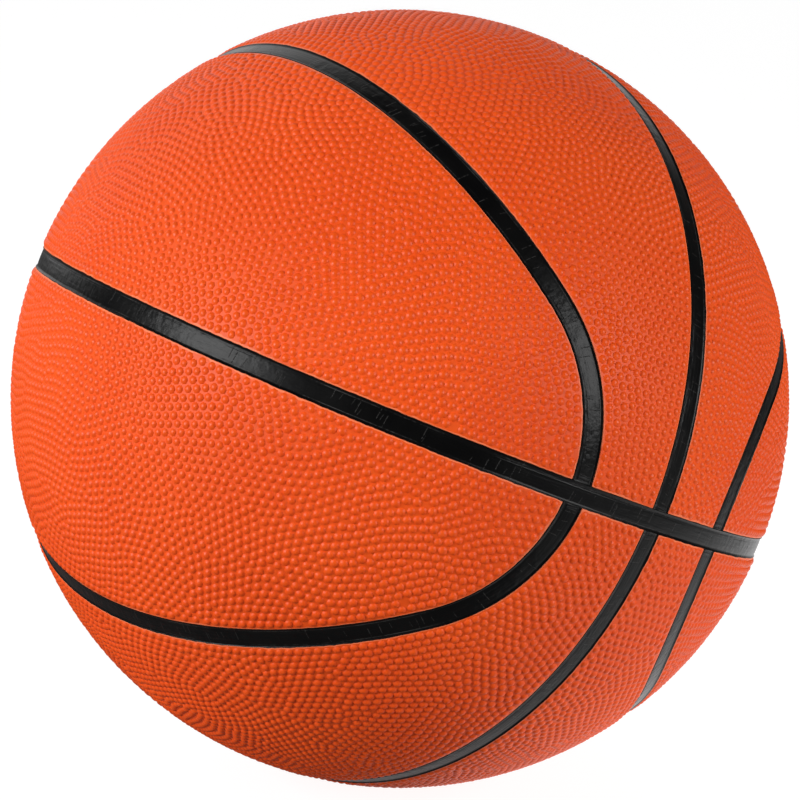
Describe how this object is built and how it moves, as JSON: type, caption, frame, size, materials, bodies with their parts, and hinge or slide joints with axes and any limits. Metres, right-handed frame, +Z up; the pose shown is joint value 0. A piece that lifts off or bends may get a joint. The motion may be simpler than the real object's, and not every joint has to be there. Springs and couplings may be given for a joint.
{
  "type": "basketball",
  "caption": "Inflated rubber basketball: pebbled orange cover panels set between black channel strips, with a bladder, a wound thread ply, a carcass and a needle valve.",
  "frame": {"origin": "centre of the ball", "axes": "+Z up through the middle of the top panel, +X out through the valve, Y through the two points where the ring seam and the straight seam cross, with the pictured side towards -Y"},
  "size_m": [0.2399, 0.2398, 0.24],
  "materials": {
    "cover_rubber": "moulded pebble grain with a soft sheen",
    "strip_rubber": "smooth satin black",
    "carcass_rubber": "matt, cured on the thread ply",
    "nylon_thread": "wound thread set in cement",
    "bladder_rubber": "smooth butyl",
    "valve_rubber": "moulded matt"
  },
  "bodies": {
    "ball": {"bladder": "bladder_rubber", "valve_sleeve": "valve_rubber", "thread_ply": "nylon_thread", "carcass": "carcass_rubber", "ring_strip": "strip_rubber", "straight_strip_upper": "strip_rubber", "straight_strip_lower": "strip_rubber", "loop_strip_right_upper": "strip_rubber", "loop_strip_right_lower": "strip_rubber", "loop_strip_left_upper": "strip_rubber", "loop_strip_left_lower": "strip_rubber", "cover_panel_top": "cover_rubber", "cover_panel_upper_right": "cover_rubber", "cover_panel_right": "cover_rubber", "cover_panel_lower_right": "cover_rubber", "cover_panel_bottom": "cover_rubber", "cover_panel_lower_left": "cover_rubber", "cover_panel_left": "cover_rubber", "cover_panel_upper_left": "cover_rubber"},
    "valve_plug": {"valve_plug": "valve_rubber"}
  },
  "joints": [
    {"name": "valve_plug_pull", "type": "slide", "parent": "ball", "child": "valve_plug", "axis": [1, 0, 0], "range_m": [0, 0.024]}
  ]
}
